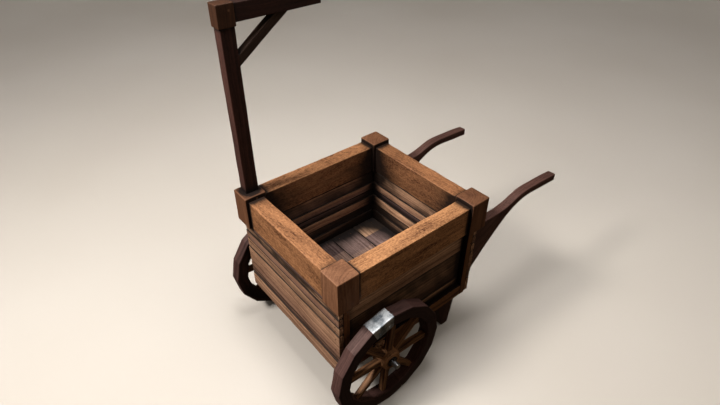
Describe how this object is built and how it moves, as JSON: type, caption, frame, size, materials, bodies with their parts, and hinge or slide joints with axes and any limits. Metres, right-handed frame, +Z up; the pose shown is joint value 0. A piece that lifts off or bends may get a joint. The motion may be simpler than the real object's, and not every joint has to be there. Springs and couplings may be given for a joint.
{
  "type": "wooden hand cart",
  "caption": "Wooden hand cart: open board box under heavy top rails, spoked wheels on a steel axle, curved rear shafts, legs, and a corner post with a braced arm.",
  "frame": {"origin": "on the ground, under the middle of the whole cart's bounding box", "axes": "+Z up, +Y back towards the handles, +X the cart's right side"},
  "size_m": [1.0316, 1.604, 1.728],
  "materials": {
    "board_timber": "reclaimed boards, dry",
    "brace_timber": "stained brown",
    "bright_steel": "turned, dull",
    "cap_timber": "oiled, end grain on top",
    "dark_timber": "stained dark red-brown",
    "floor_timber": "worn boards",
    "frame_timber": "oiled, shaded",
    "lining_timber": "reclaimed boards, dry",
    "peg_timber": "riven oak",
    "rail_timber": "oiled, weathered",
    "rim_timber": "stained dark, worn tread",
    "spoke_timber": "oiled ash",
    "zinc_steel": "galvanised sheet"
  },
  "bodies": {
    "cart": {"arm": "dark_timber", "axle": "bright_steel", "axle_plates": "bright_steel", "boards_back": "board_timber", "boards_front": "board_timber", "boards_left": "board_timber", "boards_right": "board_timber", "brace": "brace_timber", "cap_back_left": "cap_timber", "cap_back_right": "cap_timber", "cap_front_left": "cap_timber", "cap_front_right": "cap_timber", "corner_post_back_left": "frame_timber", "corner_post_back_right": "frame_timber", "corner_post_front_left": "frame_timber", "corner_post_front_right": "frame_timber", "floor_boards": "floor_timber", "joists": "frame_timber", "leg_left": "dark_timber", "leg_right": "dark_timber", "leg_screws": "bright_steel", "linch_pins": "bright_steel", "lining_back": "lining_timber", "lining_front": "lining_timber", "lining_left": "lining_timber", "lining_right": "lining_timber", "mast": "dark_timber", "mast_head": "cap_timber", "mast_pegs": "peg_timber", "plate_screws": "bright_steel", "rail_back": "rail_timber", "rail_front": "rail_timber", "rail_left": "rail_timber", "rail_right": "rail_timber", "shaft_left": "dark_timber", "shaft_pegs": "peg_timber", "shaft_right": "dark_timber", "sill_back": "frame_timber", "sill_front": "frame_timber", "sill_left": "frame_timber", "sill_right": "frame_timber", "washers": "bright_steel"},
    "wheel_left": {"bush_left": "bright_steel", "felloe_dowels_left": "peg_timber", "felloes_left": "rim_timber", "hub_left": "spoke_timber", "spokes_left": "spoke_timber"},
    "wheel_right": {"bush_right": "bright_steel", "felloe_dowels_right": "peg_timber", "felloes_right": "rim_timber", "hub_right": "spoke_timber", "rim_strap": "zinc_steel", "spokes_right": "spoke_timber", "strap_rivets": "zinc_steel"}
  },
  "joints": [
    {"name": "wheel_left_spin", "type": "hinge", "parent": "cart", "child": "wheel_left", "pos_m": [-0.439, -0.502, 0.3], "axis": [1, 0, 0], "continuous": true},
    {"name": "wheel_right_spin", "type": "hinge", "parent": "cart", "child": "wheel_right", "pos_m": [0.439, -0.502, 0.3], "axis": [1, 0, 0], "continuous": true}
  ]
}
